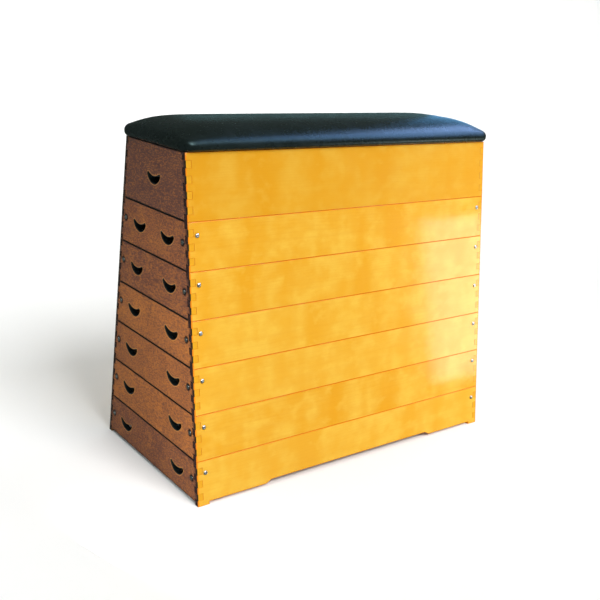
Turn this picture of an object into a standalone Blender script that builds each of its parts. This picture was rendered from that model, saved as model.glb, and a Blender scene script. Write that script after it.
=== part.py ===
"""Sectional vaulting box: seven wooden sections stacked on each other, the top one padded.

Metres, +Z up. The origin is on the floor under the middle of the box. +X runs along the box and
+Y across it, towards the back. The long boards lean inwards towards the top and the end boards
stand upright. Section 1 carries the pad and section 7 stands on the floor. Each section lifts
straight up off the one below, whose corner posts stand up inside it and keep it in place.
"""
import math

import bmesh
import bpy
from mathutils import Matrix, Vector

# Whole box
LENGTH = 1.200
TOP_WIDTH = 0.360
BASE_WIDTH = 0.610
TOP_SECTION_HEIGHT = 0.190
LOWER_SECTION_HEIGHT = 0.140
LOWER_SECTION_COUNT = 6

# Boards and the finger joints at their corners
BOARD = 0.018
FINGER = 0.020
FIT_GAP = 0.0003

# Underside of the long boards of the base
FOOT_LENGTH = 0.040
FOOT_HEIGHT = 0.0095
ARCH_LENGTH = 0.670
ARCH_RISE = 0.010
ARCH_SHOULDER = 0.018

# Handholes in the end boards
HOLE_WIDTH = 0.076
HOLE_MIDDLE = 0.020
HOLE_TIP = 0.009
HOLE_SAG = 0.015
HOLE_BELOW_TOP = 0.062
TOP_HOLE_BELOW_TOP = 0.091
HOLE_FROM_SIDE = 0.124
HOLE_STEPS = 8

# Corner posts
POST = 0.030
POST_RISE = 0.040
POST_TAPER = 0.004
POST_STACK_CLEARANCE = 0.014

# Bolts that hold the boards to the posts
BOLT_RADIUS = 0.003
BOLT_CLEARANCE = 0.0005
BOLT_BITE = 0.016
BOLT_BELOW_TOP = 0.038
SIDE_BOLT_INTO_POST = 0.010
BOLT_HEAD_RADIUS = 0.0065
BOLT_HEAD_HEIGHT = 0.0035
BOLT_HEAD_PROFILE = ((1.0, 0.0), (0.85, 0.6), (0.4, 1.0))
BOLT_SIDES = 8

# Pad on the top section
DECK = 0.012
LEATHER = 0.003
FOAM_SLACK = 0.001
PAD_CROWN = 0.076
PAD_WIDEST_ABOVE_DECK = 0.003
PAD_SHOULDER_RISE = 0.0134
PAD_SHOULDER_REACH = 0.013
PAD_END_OVERHANG = 0.013
PAD_SIDE_OVERHANG = 0.016
PAD_SEAT_INSET = 0.001
PAD_CORNER = 0.020
PAD_INNER_CORNER = 0.010
PAD_END_POWER = 14.0
PAD_END_SOFTNESS = 0.75
PAD_SIDE_POWER = 3.4
PAD_SIDE_SOFTNESS = 0.9
PAD_TUCK_STEPS = (0.0, 0.2, 0.55, 1.0)
PAD_SHOULDER_STEPS = (0.07, 0.27, 0.6, 1.0)
PAD_CROWN_STEPS = (0.125, 0.230, 0.410, 0.640, 0.850)
PAD_CORNER_STEPS = 4
PAD_SIDE_STATIONS = (0.0, 0.55, 0.80, 0.93)
PAD_END_STATIONS = (0.0, 0.60)

WOOD_HEIGHT = TOP_SECTION_HEIGHT + LOWER_SECTION_COUNT * LOWER_SECTION_HEIGHT
BATTER = (BASE_WIDTH - TOP_WIDTH) / 2 / WOOD_HEIGHT
LEAN = math.atan(BATTER)
BOARD_ACROSS = BOARD / math.cos(LEAN)
POST_FOOT = POST_RISE + POST_STACK_CLEARANCE
SIDE_BOLT_HEIGHT = LOWER_SECTION_HEIGHT - BOLT_BELOW_TOP
END_BOLT_HEIGHT = (POST_FOOT + SIDE_BOLT_HEIGHT) / 2
SIDE_BOLT_FROM_END = BOARD + FIT_GAP + SIDE_BOLT_INTO_POST
END_BOLT_FROM_SIDE = BOARD_ACROSS + FIT_GAP + POST / 2


def half_width(height):
    """Half of the box's width over its long boards, at a height above the floor."""
    return BASE_WIDTH / 2 - BATTER * height


def make_material(name, colour, roughness, metallic=0.0):
    material = bpy.data.materials.new(name)
    material.use_nodes = True
    shader = material.node_tree.nodes["Principled BSDF"]
    shader.inputs["Base Color"].default_value = (*colour, 1.0)
    shader.inputs["Roughness"].default_value = roughness
    shader.inputs["Metallic"].default_value = metallic
    return material


def place(name, mesh, parent, material, location=(0.0, 0.0, 0.0), turned=False):
    """Add a piece to a section. A turned piece faces the opposite way."""
    piece = bpy.data.objects.new(name, mesh)
    bpy.context.collection.objects.link(piece)
    piece.parent = parent
    piece.location = location
    if turned:
        piece.rotation_euler = (0.0, 0.0, math.pi)
    if not mesh.materials:
        mesh.materials.append(material)
    return piece


def finish_mesh(name, body):
    """Turn all faces of a closed body outwards and store it as a mesh."""
    bmesh.ops.recalc_face_normals(body, faces=body.faces)
    mesh = bpy.data.meshes.new(name)
    body.to_mesh(mesh)
    body.free()
    return mesh


def add_loop(body, points):
    corners = [body.verts.new(point) for point in points]
    edges = [body.edges.new((corners[i - 1], corners[i])) for i in range(len(corners))]
    return corners, edges


def bridge(body, lower, upper):
    """Join two loops of as many corners with a band of four-sided faces."""
    for i in range(len(lower)):
        body.faces.new((lower[i - 1], lower[i], upper[i], upper[i - 1]))


def plate(name, outer_loops, inner_loops):
    """A board from the loops on its outer face and the matching ones on its inner face.

    The first loop of each list is the board's outline and the others are holes right through it.
    """
    body = bmesh.new()
    rims = []
    for loops in (outer_loops, inner_loops):
        added = [add_loop(body, points) for points in loops]
        edges = [edge for _, loop_edges in added for edge in loop_edges]
        bmesh.ops.triangle_fill(body, edges=edges, use_beauty=True)
        rims.append([corners for corners, _ in added])
    for outer, inner in zip(*rims):
        bridge(body, outer, inner)
    return finish_mesh(name, body)


def loft(name, rings, close_last):
    """A closed body over a stack of rings. The first ring gets a flat face."""
    body = bmesh.new()
    stack = [[body.verts.new(point) for point in ring] for ring in rings]
    for lower, upper in zip(stack, stack[1:]):
        bridge(body, lower, upper)
    body.faces.new(stack[0])
    close_last(body, stack[-1])
    return finish_mesh(name, body)


def close_flat(body, ring):
    body.faces.new(ring)


def finger_levels(height):
    """Heights where the fingers of a corner joint meet, from the section's bottom to its top."""
    count = 2 * round((height / FINGER - 1) / 2) + 1
    return [height * i / count for i in range(count + 1)]


def finger_edge(levels, first_is_finger, tip, root):
    """Points up a fingered edge. tip and root give its reach at a height, out and in."""
    points = []
    for i, (low, high) in enumerate(zip(levels, levels[1:])):
        is_finger = (i % 2 == 0) == first_is_finger
        slack = FIT_GAP / 2 if is_finger else -FIT_GAP / 2
        reach = tip if is_finger else root
        if i > 0:
            low += slack
        if i < len(levels) - 2:
            high -= slack
        points += [(reach(low), low), (reach(high), high)]
    return points


def circle(centre, across, up, radius, sides=BOLT_SIDES):
    turns = [2 * math.pi * (i + 0.5) / sides for i in range(sides)]
    return [centre + across * radius * math.cos(t) + up * radius * math.sin(t) for t in turns]


def base_underside():
    """Points along the underside of the base's long boards, from the left foot to the right one."""
    half_arch = ARCH_LENGTH / 2
    right = [(half_arch, FOOT_HEIGHT + ARCH_RISE), (half_arch + ARCH_SHOULDER, FOOT_HEIGHT),
             (LENGTH / 2 - FOOT_LENGTH, FOOT_HEIGHT), (LENGTH / 2 - FOOT_LENGTH, 0.0)]
    left = [(-x, z) for x, z in reversed(right)]
    return left + right


def long_board_mesh(name, height, bottom, underside, has_bolts):
    """A leaning long board. Its outer face starts at y = 0 at the section's bottom."""
    levels = finger_levels(height)
    levels[0] = bottom
    edge = finger_edge(levels, True, lambda z: LENGTH / 2, lambda z: LENGTH / 2 - BOARD - FIT_GAP)
    outline = underside + edge + [(-x, z) for x, z in reversed(edge)]
    outer_loops = [[Vector((x, BATTER * z, z)) for x, z in outline]]
    inner_loops = [[point + Vector((0.0, BOARD_ACROSS, 0.0)) for point in outer_loops[0]]]
    if has_bolts:
        up = Vector((0.0, math.sin(LEAN), math.cos(LEAN)))
        inwards = Vector((0.0, math.cos(LEAN), -math.sin(LEAN)))
        for side in (-1, 1):
            x = side * (LENGTH / 2 - SIDE_BOLT_FROM_END)
            centre = Vector((x, BATTER * SIDE_BOLT_HEIGHT, SIDE_BOLT_HEIGHT))
            hole = circle(centre, Vector((1.0, 0.0, 0.0)), up, BOLT_RADIUS + BOLT_CLEARANCE)
            outer_loops.append(hole)
            inner_loops.append([point + inwards * BOARD for point in hole])
    return plate(name, outer_loops, inner_loops)


def handhole(centre_y, tip_z):
    """Outline of a crescent with its tips up, thickest in its middle and round at its tips."""
    half_chord = (HOLE_WIDTH - HOLE_TIP) / 2
    radius = (half_chord ** 2 + HOLE_SAG ** 2) / (2 * HOLE_SAG)
    reach = math.asin(half_chord / radius)
    lower, upper = [], []
    for i in range(HOLE_STEPS + 1):
        along = 2 * i / HOLE_STEPS - 1
        half_thickness = (HOLE_TIP + (HOLE_MIDDLE - HOLE_TIP) * (1 - along ** 2)) / 2
        for side, edge in ((1, lower), (-1, upper)):
            r = radius + side * half_thickness
            edge.append((r * math.sin(along * reach), radius - HOLE_SAG - r * math.cos(along * reach)))
    tip = (math.sin(reach) * radius + math.cos(reach) * HOLE_TIP / 2,
           radius - HOLE_SAG - math.cos(reach) * radius + math.sin(reach) * HOLE_TIP / 2)
    outline = lower + [tip] + upper[::-1] + [(-tip[0], tip[1])]
    return [(centre_y + y, tip_z + z) for y, z in outline]


def end_board_mesh(name, height, bottom, floor_height, holes, has_bolts):
    """An upright end board. Its outer face is at x = 0 and its fingers follow the box's slant."""
    levels = finger_levels(height)
    levels[0] = bottom

    def tip(z):
        return half_width(floor_height + z)

    def root(z):
        return tip(z) - BOARD_ACROSS - FIT_GAP

    edge = finger_edge(levels, False, tip, root)
    loops = [edge + [(-y, z) for y, z in reversed(edge)]] + holes
    outer_loops = [[Vector((0.0, y, z)) for y, z in loop] for loop in loops]
    if has_bolts:
        y = tip(END_BOLT_HEIGHT) - END_BOLT_FROM_SIDE
        for side in (-1, 1):
            centre = Vector((0.0, side * y, END_BOLT_HEIGHT))
            radius = BOLT_RADIUS + BOLT_CLEARANCE
            outer_loops.append(circle(centre, Vector((0, 1, 0)), Vector((0, 0, 1)), radius))
    inner_loops = [[point + Vector((BOARD, 0.0, 0.0)) for point in loop] for loop in outer_loops]
    return plate(name, outer_loops, inner_loops)


def post_ring(height, taper):
    """Four corners of a post's section, from the box's outer corner at the section's bottom."""
    x = BOARD + FIT_GAP
    y = BATTER * height + BOARD_ACROSS + FIT_GAP
    near, far = taper, POST - taper
    return [(x + dx, y + dy, height) for dx, dy in ((near, near), (far, near), (far, far), (near, far))]


def bolt_mesh():
    """A round-headed bolt along -Z, with z = 0 on the face of the board that it holds."""
    profile = [(BOLT_RADIUS, -(BOARD + FIT_GAP + BOLT_BITE)), (BOLT_RADIUS, FIT_GAP)]
    for reach, rise in BOLT_HEAD_PROFILE:
        profile.append((BOLT_HEAD_RADIUS * reach, FIT_GAP + BOLT_HEAD_HEIGHT * rise))
    rings = [circle(Vector((0, 0, z)), Vector((1, 0, 0)), Vector((0, 1, 0)), r) for r, z in profile]
    return loft("bolt", rings, close_flat)


def bolt_guide(location, direction):
    """A bolt that a post is joined with, its head pointing along direction."""
    guide = bpy.data.objects.new("bolt_guide", bolt_mesh())
    guide.location = location
    guide.rotation_euler = direction.to_track_quat("Z", "Y").to_euler()
    guide.hide_render = True
    guide.display_type = "WIRE"
    bpy.context.collection.objects.link(guide)
    return guide


def post_mesh(name, mirrored):
    """A corner post with its two bolts, for the front left corner, or mirrored for the front right."""
    rings = [post_ring(POST_FOOT, 0.0), post_ring(LOWER_SECTION_HEIGHT, 0.0),
             post_ring(LOWER_SECTION_HEIGHT + POST_RISE, POST_TAPER)]
    post = bpy.data.objects.new(name, loft(name, rings, close_flat))
    bpy.context.collection.objects.link(post)
    side_place = Vector((SIDE_BOLT_FROM_END, BATTER * SIDE_BOLT_HEIGHT, SIDE_BOLT_HEIGHT))
    end_place = Vector((0.0, BATTER * END_BOLT_HEIGHT + END_BOLT_FROM_SIDE, END_BOLT_HEIGHT))
    guides = [bolt_guide(side_place, Vector((0.0, -math.cos(LEAN), math.sin(LEAN)))),
              bolt_guide(end_place, Vector((-1.0, 0.0, 0.0)))]
    for guide in guides:
        union = post.modifiers.new("bolt", "BOOLEAN")
        union.operation = "UNION"
        union.object = guide
    bpy.context.view_layer.update()
    joined = post.evaluated_get(bpy.context.evaluated_depsgraph_get())
    mesh = bpy.data.meshes.new_from_object(joined)
    mesh.name = name
    if mirrored:
        mesh.transform(Matrix.Scale(-1.0, 4, Vector((1.0, 0.0, 0.0))))
        mesh.flip_normals()
    for helper in guides + [post]:
        bpy.data.objects.remove(helper)
    return mesh


def plan_ring(half_length, half_width_here, radius):
    """Points around a rectangle with round corners, with fixed stations along its sides."""
    straight_x = half_length - radius
    straight_y = half_width_here - radius
    corner = []
    for i in range(1, PAD_CORNER_STEPS):
        turn = math.pi / 2 * i / PAD_CORNER_STEPS
        corner.append((straight_x + radius * math.cos(turn), straight_y + radius * math.sin(turn)))
    end = [(half_length, straight_y * s) for s in (*PAD_END_STATIONS, 1.0)]
    side = [(straight_x * s, half_width_here) for s in (1.0, *reversed(PAD_SIDE_STATIONS))]
    quarter = end + corner + side
    half = quarter + [(-x, y) for x, y in reversed(quarter[:-1])]
    return half + [(x, -y) for x, y in reversed(half[1:-1])]


def pad_crown(x, y, half_length, half_side):
    """Share of the crown that the pad reaches: all of it in the middle, none at its outline."""
    along = max(0.0, 1 - abs(x / half_length) ** PAD_END_POWER) ** PAD_END_SOFTNESS
    across = max(0.0, 1 - abs(y / half_side) ** PAD_SIDE_POWER) ** PAD_SIDE_SOFTNESS
    return along * across


def pad_rings(depth, lowest):
    """Rings of the pad's surface, at a depth inside the leather's outer face, from a height up.

    Below its widest level the surface is drawn in to the wood's edge along a quarter of an ellipse.
    Above it the surface turns inwards round a tight shoulder, another quarter of an ellipse, and
    the crown rises over that. Its rings step inwards by shares of the pad's half width.
    """
    seat_length = LENGTH / 2 - PAD_SEAT_INSET - depth
    seat_side = TOP_WIDTH / 2 - PAD_SEAT_INSET - depth
    end_bulge = PAD_END_OVERHANG + PAD_SEAT_INSET
    side_bulge = PAD_SIDE_OVERHANG + PAD_SEAT_INSET
    seat = FIT_GAP
    widest = seat + DECK + FIT_GAP + PAD_WIDEST_ABOVE_DECK
    rings = []
    for step in PAD_TUCK_STEPS:
        height = lowest + (widest - lowest) * step
        rise = (height - seat) / (widest - seat)
        out = math.sqrt(1 - (1 - rise) ** 2)
        plan = plan_ring(seat_length + end_bulge * out, seat_side + side_bulge * out,
                         PAD_CORNER + side_bulge * out - depth)
        rings.append([(x, y, height) for x, y in plan])
    half_length = seat_length + end_bulge
    half_side = seat_side + side_bulge
    shoulder_reach = PAD_SHOULDER_REACH - depth
    shoulder_rise = PAD_SHOULDER_RISE - depth
    crown_rise = PAD_CROWN - widest - PAD_SHOULDER_RISE
    insets = [shoulder_reach * step for step in PAD_SHOULDER_STEPS]
    insets += [half_side * step for step in PAD_CROWN_STEPS]
    for inset in insets:
        turned = min(1.0, inset / shoulder_reach)
        shoulder = widest + shoulder_rise * math.sqrt(1 - (1 - turned) ** 2)
        radius = max(PAD_CORNER + side_bulge - depth - inset, PAD_INNER_CORNER)
        plan = plan_ring(half_length - inset, half_side - inset, radius)
        rings.append([(x, y, shoulder + crown_rise * pad_crown(x, y, half_length, half_side))
                      for x, y in plan])
    return rings


def close_crown(body, ring):
    """Close the pad's top between the two long sides of its innermost ring."""
    count = len(ring)
    half = count // 2
    for i in range(half):
        corners = [ring[i], ring[i + 1], ring[-(i + 1) % count], ring[-i % count]]
        body.faces.new(list(dict.fromkeys(corners)))


def leather_mesh():
    """The leather as a shell, crowned on top, drawn in at its sides and open underneath."""
    body = bmesh.new()
    skins = []
    for depth in (0.0, LEATHER):
        rings = [[body.verts.new(point) for point in ring] for ring in pad_rings(depth, FIT_GAP)]
        for lower, upper in zip(rings, rings[1:]):
            bridge(body, lower, upper)
        close_crown(body, rings[-1])
        skins.append(rings)
    bridge(body, skins[0][0], skins[1][0])
    return finish_mesh("leather_cover", body)


def foam_mesh():
    """The foam under the leather, flat where it lies on the deck."""
    rings = pad_rings(LEATHER + FOAM_SLACK, DECK + 2 * FIT_GAP)
    return loft("foam_core", rings, close_crown)


def deck_mesh():
    """The plywood that closes the top section, just inside the lower edge of the leather."""
    inset = PAD_SEAT_INSET + LEATHER + FIT_GAP
    plan = plan_ring(LENGTH / 2 - inset, TOP_WIDTH / 2 - inset, PAD_CORNER - LEATHER - FIT_GAP)
    rings = [[(x, y, z) for x, y in plan] for z in (FIT_GAP, FIT_GAP + DECK)]
    return loft("deck", rings, close_flat)


def smooth(mesh, angle):
    mesh.shade_smooth()
    mesh.set_sharp_from_angle(angle=math.radians(angle))


def section_frame(number, parent, rise):
    """The empty that a section's pieces hang on, at the section's bottom on the lifting axis."""
    frame = bpy.data.objects.new(f"section_{number}_frame", None)
    bpy.context.collection.objects.link(frame)
    frame.parent = parent
    frame.location = (0.0, 0.0, rise)
    return frame


def place_long_boards(number, frame, mesh, floor_height, material):
    y = half_width(floor_height)
    place(f"section_{number}_front_board", mesh, frame, material, (0.0, -y, 0.0))
    place(f"section_{number}_back_board", mesh, frame, material, (0.0, y, 0.0), turned=True)


def place_end_boards(number, frame, mesh, material):
    place(f"section_{number}_left_end", mesh, frame, material, (-LENGTH / 2, 0.0, 0.0))
    place(f"section_{number}_right_end", mesh, frame, material, (LENGTH / 2, 0.0, 0.0), turned=True)


def place_posts(number, frame, left_mesh, right_mesh, floor_height, material):
    x, y = LENGTH / 2, half_width(floor_height)
    place(f"section_{number}_post_front_left", left_mesh, frame, material, (-x, -y, 0.0))
    place(f"section_{number}_post_front_right", right_mesh, frame, material, (x, -y, 0.0))
    place(f"section_{number}_post_back_right", left_mesh, frame, material, (x, y, 0.0), turned=True)
    place(f"section_{number}_post_back_left", right_mesh, frame, material, (-x, y, 0.0), turned=True)


def lower_handholes(floor_height):
    """Two handholes, each at the same distance from the slanting side next to it."""
    height = LOWER_SECTION_HEIGHT - HOLE_BELOW_TOP
    y = half_width(floor_height + height) - HOLE_FROM_SIDE
    return [handhole(-y, height), handhole(y, height)]


def build_lower_sections(board_finish, post_wood):
    """Sections 7 to 2, from the floor up. Returns the frame of the last one."""
    base_mesh = long_board_mesh("base_long_board", LOWER_SECTION_HEIGHT, 0.0, base_underside(), True)
    long_mesh = long_board_mesh("long_board", LOWER_SECTION_HEIGHT, FIT_GAP, [], True)
    left_post = post_mesh("corner_post", False)
    right_post = post_mesh("corner_post_mirrored", True)
    for mesh in (left_post, right_post):
        smooth(mesh, 35)
    frame = None
    for level in range(LOWER_SECTION_COUNT):
        number = LOWER_SECTION_COUNT + 1 - level
        floor_height = level * LOWER_SECTION_HEIGHT
        is_base = level == 0
        frame = section_frame(number, frame, 0.0 if is_base else LOWER_SECTION_HEIGHT)
        place_long_boards(number, frame, base_mesh if is_base else long_mesh, floor_height, board_finish)
        end_mesh = end_board_mesh(f"end_board_{number}", LOWER_SECTION_HEIGHT,
                                  FOOT_HEIGHT if is_base else FIT_GAP, floor_height,
                                  lower_handholes(floor_height), True)
        place_end_boards(number, frame, end_mesh, board_finish)
        place_posts(number, frame, left_post, right_post, floor_height, post_wood)
    return frame


def build_top_section(below, board_finish):
    """Section 1: its four boards, the deck, the foam and the leather."""
    floor_height = LOWER_SECTION_COUNT * LOWER_SECTION_HEIGHT
    frame = section_frame(1, below, LOWER_SECTION_HEIGHT)
    long_mesh = long_board_mesh("top_long_board", TOP_SECTION_HEIGHT, FIT_GAP, [], False)
    place_long_boards(1, frame, long_mesh, floor_height, board_finish)
    hole = handhole(0.0, TOP_SECTION_HEIGHT - TOP_HOLE_BELOW_TOP)
    end_mesh = end_board_mesh("end_board_1", TOP_SECTION_HEIGHT, FIT_GAP, floor_height, [hole], False)
    place_end_boards(1, frame, end_mesh, board_finish)
    on_top = (0.0, 0.0, TOP_SECTION_HEIGHT)
    place("deck", deck_mesh(), frame, make_material("deck_plywood", (0.62, 0.44, 0.25), 0.6), on_top)
    foam = place("foam_core", foam_mesh(), frame, make_material("foam", (0.80, 0.74, 0.50), 0.9), on_top)
    cover = place("leather_cover", leather_mesh(), frame,
                  make_material("black_leather", (0.010, 0.014, 0.022), 0.38), on_top)
    for piece in (foam, cover):
        smooth(piece.data, 60)


def main():
    for old in list(bpy.data.objects):
        bpy.data.objects.remove(old)
    board_finish = make_material("varnished_board", (0.72, 0.40, 0.07), 0.35)
    post_wood = make_material("post_wood", (0.60, 0.40, 0.20), 0.55)
    build_top_section(build_lower_sections(board_finish, post_wood), board_finish)


main()
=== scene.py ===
"""The looks of a sectional vaulting box, built around its solids.

Metres, +Z up. The camera stands in front (-Y) and to the left (-X). Section 1 is the padded top one
and section 7 stands on the floor.
"""
import math

import bmesh
import bpy
import numpy as np
from mathutils import Matrix, Vector
from mathutils.geometry import tessellate_polygon


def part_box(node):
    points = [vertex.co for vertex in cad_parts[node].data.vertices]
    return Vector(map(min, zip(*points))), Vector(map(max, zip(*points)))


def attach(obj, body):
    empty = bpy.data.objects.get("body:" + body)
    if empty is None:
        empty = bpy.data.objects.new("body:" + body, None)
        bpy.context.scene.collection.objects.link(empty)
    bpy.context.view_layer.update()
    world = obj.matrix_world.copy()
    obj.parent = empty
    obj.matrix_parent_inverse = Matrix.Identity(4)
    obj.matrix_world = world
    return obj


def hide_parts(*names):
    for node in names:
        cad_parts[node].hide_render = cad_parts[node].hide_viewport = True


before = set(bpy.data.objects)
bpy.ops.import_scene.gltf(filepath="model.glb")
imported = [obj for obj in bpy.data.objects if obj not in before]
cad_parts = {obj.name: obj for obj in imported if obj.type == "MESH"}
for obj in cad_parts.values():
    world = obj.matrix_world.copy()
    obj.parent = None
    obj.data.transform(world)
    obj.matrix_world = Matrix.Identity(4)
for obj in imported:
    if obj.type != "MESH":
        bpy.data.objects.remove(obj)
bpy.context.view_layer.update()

# The box, as the frame has it
BASE_LOW, BASE_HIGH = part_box("section_7_front_board")
TOP_LOW, TOP_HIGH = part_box("section_1_front_board")
END_LOW, END_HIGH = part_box("section_1_left_end")
HALF_LENGTH = BASE_HIGH.x
BATTER = (TOP_LOW.y - BASE_LOW.y) / (TOP_LOW.z - BASE_LOW.z)
LEAN = math.atan(BATTER)
BOARD = END_HIGH.x - END_LOW.x
BOARD_ACROSS = BOARD / math.cos(LEAN)
WOOD_HEIGHT = TOP_HIGH.z
TOP_HALF_WIDTH = -BASE_LOW.y - BATTER * WOOD_HEIGHT
FIT_GAP = 0.0003
LOWER_SECTION_HEIGHT = 0.140
BASE_SECTION, TOP_SECTION = 7, 1
SECTIONS = range(BASE_SECTION, TOP_SECTION - 1, -1)
LOWER_SECTIONS = range(BASE_SECTION, TOP_SECTION, -1)
SIDES = (("front", -1), ("back", 1))
ENDS = (("left", -1), ("right", 1))

# Finger joints, handholes and the underside of the base
FINGER = 0.020
FOOT_LENGTH = 0.040
FOOT_HEIGHT = 0.0095
ARCH_LENGTH = 0.670
ARCH_RISE = 0.010
ARCH_SHOULDER = 0.018
HOLE_WIDTH = 0.076
HOLE_MIDDLE = 0.020
HOLE_TIP = 0.009
HOLE_SAG = 0.015
HOLE_BELOW_TOP = 0.062
TOP_HOLE_BELOW_TOP = 0.091
HOLE_FROM_SIDE = 0.124
HOLE_STEPS = 28
HOLE_TIP_STEPS = 8

# How far the edges of the boards are rounded
SIDE_SEAM_EASE = 0.0012
END_SEAM_EASE = 0.0020
CORNER_EASE = 0.0022
JOINT_EASE = 0.00025
HOLE_EASE = 0.0020
BOLT_HOLE_EASE = 0.0003
INNER_EASE = 0.0008
EASE_STEPS = 4

# How far from a rounding the ring stands that holds the shading
HOLD = 0.00012

# How far round each edge the finish is darker
SIDE_SEAM_STAIN = 0.0012
END_SEAM_STAIN = 0.0020
END_CORNER_STAIN = 0.0160
SIDE_CORNER_STAIN = 0.0030
JOINT_STAIN = 0.0006
HOLE_STAIN = 0.0030
SIDE_BOLT_STAIN = 0.0015
# Round an end bolt the darker ring is a painted shadow of its head
END_BOLT_SHADOW = 0.0100

# How strong the painted shadow round an end bolt is, where the edge of a board has 1
END_BOLT_SHADOW_STRENGTH = 1.8

# How far out a stain is still half as strong, as a share of its width
BARE_SHARE = 0.60

# Corner posts and bolts
POST = 0.030
POST_RISE = 0.040
POST_TAPER = 0.004
POST_FOOT = 0.054
POST_EDGE = 0.003
POST_CENTRE = FIT_GAP + POST / 2
SIDE_BOLT_FROM_END = BOARD + FIT_GAP + 0.010
END_BOLT_FROM_SIDE = BOARD_ACROSS + POST_CENTRE
SIDE_BOLT_HEIGHT = 0.102
END_BOLT_HEIGHT = 0.078
BOLT_RADIUS = 0.003
BOLT_CLEARANCE = 0.0005
BOLT_BITE = 0.016
BOLT_HEAD_RADIUS = 0.0065
BOLT_HEAD_HEIGHT = 0.0035
BOLT_SIDES = 40
BOLT_HOLE_SIDES = 16

# The pad, with the form that its solid has
DECK = 0.012
LEATHER = 0.003
FOAM_SLACK = 0.001
PAD_CROWN = 0.076
PAD_WIDEST_ABOVE_DECK = 0.003
PAD_SHOULDER_RISE = 0.0134
PAD_SHOULDER_REACH = 0.013
PAD_END_OVERHANG = 0.013
PAD_SIDE_OVERHANG = 0.016
PAD_SEAT_INSET = 0.001
PAD_CORNER = 0.020
PAD_INNER_CORNER = 0.010
PAD_END_POWER = 14.0
PAD_END_SOFTNESS = 0.75
PAD_SIDE_POWER = 3.4
PAD_SIDE_SOFTNESS = 0.9

# The pad's grid, and how its leather settles
TUCK_RINGS = 5
TUCK_CROWDING = 1.5
SHOULDER_RINGS = 7
CROWN_RINGS = 26
CROWN_REACH = 0.965
LEAST_STRAIGHT = 0.0005
POINTS_ALONG = 49
POINTS_ACROSS = 13
POINTS_ROUND = 9
SETTLE_FRAMES = 20
SETTLE_LIMIT = 0.0025

# How pale (above 0) or dark (below 0) the boards of each section are
SIDE_TONES = {1: -0.40, 2: 0.0, 3: 0.05, 4: 0.15, 5: 0.20, 6: 0.0, 7: 0.18}
# The end boards' tones are partly the planks' own and partly painted light: paler in the lower
# middle sections, where light bounces up from the floor, and darker at the top and the bottom
END_TONES_AND_PAINTED_LIGHT = {1: -0.72, 2: -0.15, 3: -0.25, 4: 0.28, 5: 0.18, 6: 0.25, 7: -0.35}

# Shades of the woods. hole_shade is painted shade on the walls of the handholes, and rim a painted
# highlight round them
# inside is partly the bare wood of the inner faces and partly painted shade inside the box
SIDE_SHADES = {
    "pale": (0.66, 0.385, 0.044, 1.0), "amber": (0.62, 0.290, 0.012, 1.0),
    "dark": (0.52, 0.19, 0.006, 1.0), "deep": (0.53, 0.240, 0.009, 1.0),
    "light": (0.69, 0.435, 0.058, 1.0), "seam": (0.68, 0.21, 0.008, 1.0),
    "tips": (0.030, 0.013, 0.011, 1.0), "hole_shade": (0.010, 0.008, 0.006, 1.0),
    "rim": (0.71, 0.41, 0.046, 1.0), "inside": (0.30, 0.26, 0.90, 1.0)}
# The end wood is darker and redder than the side wood: partly its own colour, partly painted shade
# for the ends, which face away from the key light
END_SHADES_WITH_PAINTED_SHADE = {
    "pale": (0.34, 0.110, 0.032, 1.0), "amber": (0.25, 0.080, 0.027, 1.0),
    "dark": (0.028, 0.019, 0.030, 1.0), "deep": (0.090, 0.041, 0.038, 1.0),
    "light": (0.54, 0.185, 0.029, 1.0), "seam": (0.005, 0.005, 0.006, 1.0),
    "tips": (0.61, 0.29, 0.014, 1.0), "hole_shade": (0.012, 0.018, 0.018, 1.0),
    "rim": (0.75, 0.32, 0.07, 1.0), "inside": (0.45, 0.60, 1.0, 1.0)}
POST_SHADES = {
    "pale": (0.62, 0.42, 0.22, 1.0), "amber": (0.54, 0.34, 0.16, 1.0),
    "dark": (0.40, 0.23, 0.10, 1.0), "deep": (0.48, 0.30, 0.14, 1.0),
    "light": (0.66, 0.46, 0.26, 1.0), "seam": (0.40, 0.23, 0.10, 1.0),
    "tips": (0.30, 0.17, 0.08, 1.0), "hole_shade": (0.20, 0.11, 0.05, 1.0),
    "rim": (0.62, 0.42, 0.22, 1.0), "inside": (1.0, 1.0, 1.0, 1.0)}

# The grain: the spacing of the year rings, how far they bend, how far in front of a board their
# pith lies at least, and how rough end grain is
RING_SPACING = 0.006
RING_BEND = 0.05
PITH_DISTANCE = 0.09
END_GRAIN_ROUGHNESS = 0.14

# The thickness of two plies of the deck
PLY_PAIR = 0.0048

# Where the draws start that place each board and each post in its wood
BOARD_SEED = 7
POST_SEED = 11

# The camera, as it stood for the photograph
CAMERA_PLACE = Vector((-1.794, -2.273, 1.372))
CAMERA_AZIMUTH = math.radians(-37.76)
CAMERA_ELEVATION = math.radians(17.23)
CAMERA_ROLL = math.radians(3.67)
CAMERA_LENS = 52.5
CAMERA_SENSOR = 36.0


def half_width(height):
    """Half of the box's width over its long boards, at a height above the floor."""
    return -BASE_LOW.y - BATTER * height


def section_bottom(number):
    """How high a section's underside is above the floor."""
    return LOWER_SECTION_HEIGHT * (BASE_SECTION - number)


def section_height(number):
    """How high a section's wood is."""
    if number == TOP_SECTION:
        return WOOD_HEIGHT - section_bottom(number)
    return LOWER_SECTION_HEIGHT


# Meshes


def band(rows, count, start=0):
    """Four-sided faces between stacked closed rings of as many points, numbered from start."""
    row, column = np.meshgrid(np.arange(rows - 1), np.arange(count), indexing="ij")
    following = (column + 1) % count
    corners = (row * count + column, row * count + following,
               (row + 1) * count + following, (row + 1) * count + column)
    return (np.stack(corners, -1).reshape(-1, 4) + start).tolist()


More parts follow.
